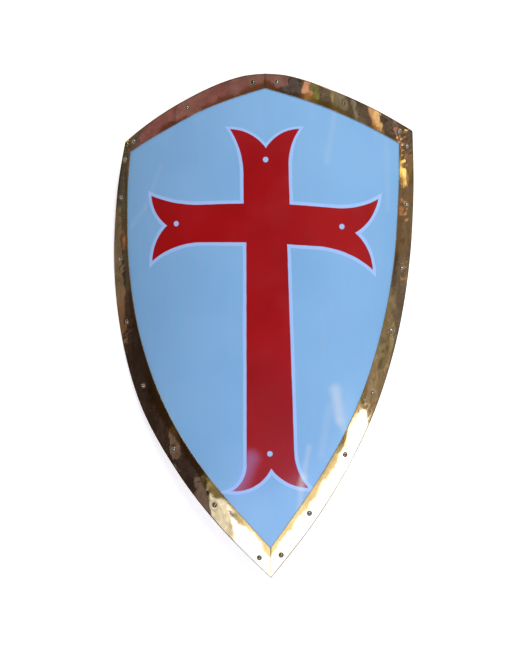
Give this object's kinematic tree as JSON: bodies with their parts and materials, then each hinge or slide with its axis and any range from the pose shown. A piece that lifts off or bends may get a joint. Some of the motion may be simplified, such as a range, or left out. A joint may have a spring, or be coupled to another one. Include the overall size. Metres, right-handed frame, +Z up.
{
  "type": "steel heater shield",
  "caption": "Painted steel heater shield, rolled about its long axis, with a riveted brass border and leather arm and grip straps behind, lying face up",
  "frame": {"origin": "under the middle of the shield's box, on the surface it lies on, face up", "axes": "+X across the shield to the right of a viewer who faces its painted side, +Y along it towards its straight top edge, +Z up, out of the painted face"},
  "size_m": [0.4746, 0.7584, 0.108],
  "materials": {
    "paint": "gloss pale blue enamel with a red cross edged in lavender",
    "brass": "polished sheet, dented and partly tarnished",
    "steel": "worn bright",
    "leather": "oiled dark brown"
  },
  "bodies": {
    "root": {"steel_plate": "paint", "brass_border_left": "brass", "brass_border_right": "brass", "rivet_left_01": "steel", "rivet_left_02": "steel", "rivet_left_03": "steel", "rivet_left_04": "steel", "rivet_left_05": "steel", "rivet_left_06": "steel", "rivet_left_07": "steel", "rivet_left_08": "steel", "rivet_left_09": "steel", "rivet_left_10": "steel", "rivet_left_11": "steel", "rivet_right_01": "steel", "rivet_right_02": "steel", "rivet_right_03": "steel", "rivet_right_04": "steel", "rivet_right_05": "steel", "rivet_right_06": "steel", "rivet_right_07": "steel", "rivet_right_08": "steel", "rivet_right_09": "steel", "rivet_right_10": "steel", "rivet_right_11": "steel", "arm_strap": "leather", "grip_strap": "leather", "strap_loop_arm_upper": "steel", "strap_loop_arm_lower": "steel", "strap_loop_grip_upper": "steel", "strap_loop_grip_lower": "steel"}
  },
  "joints": []
}
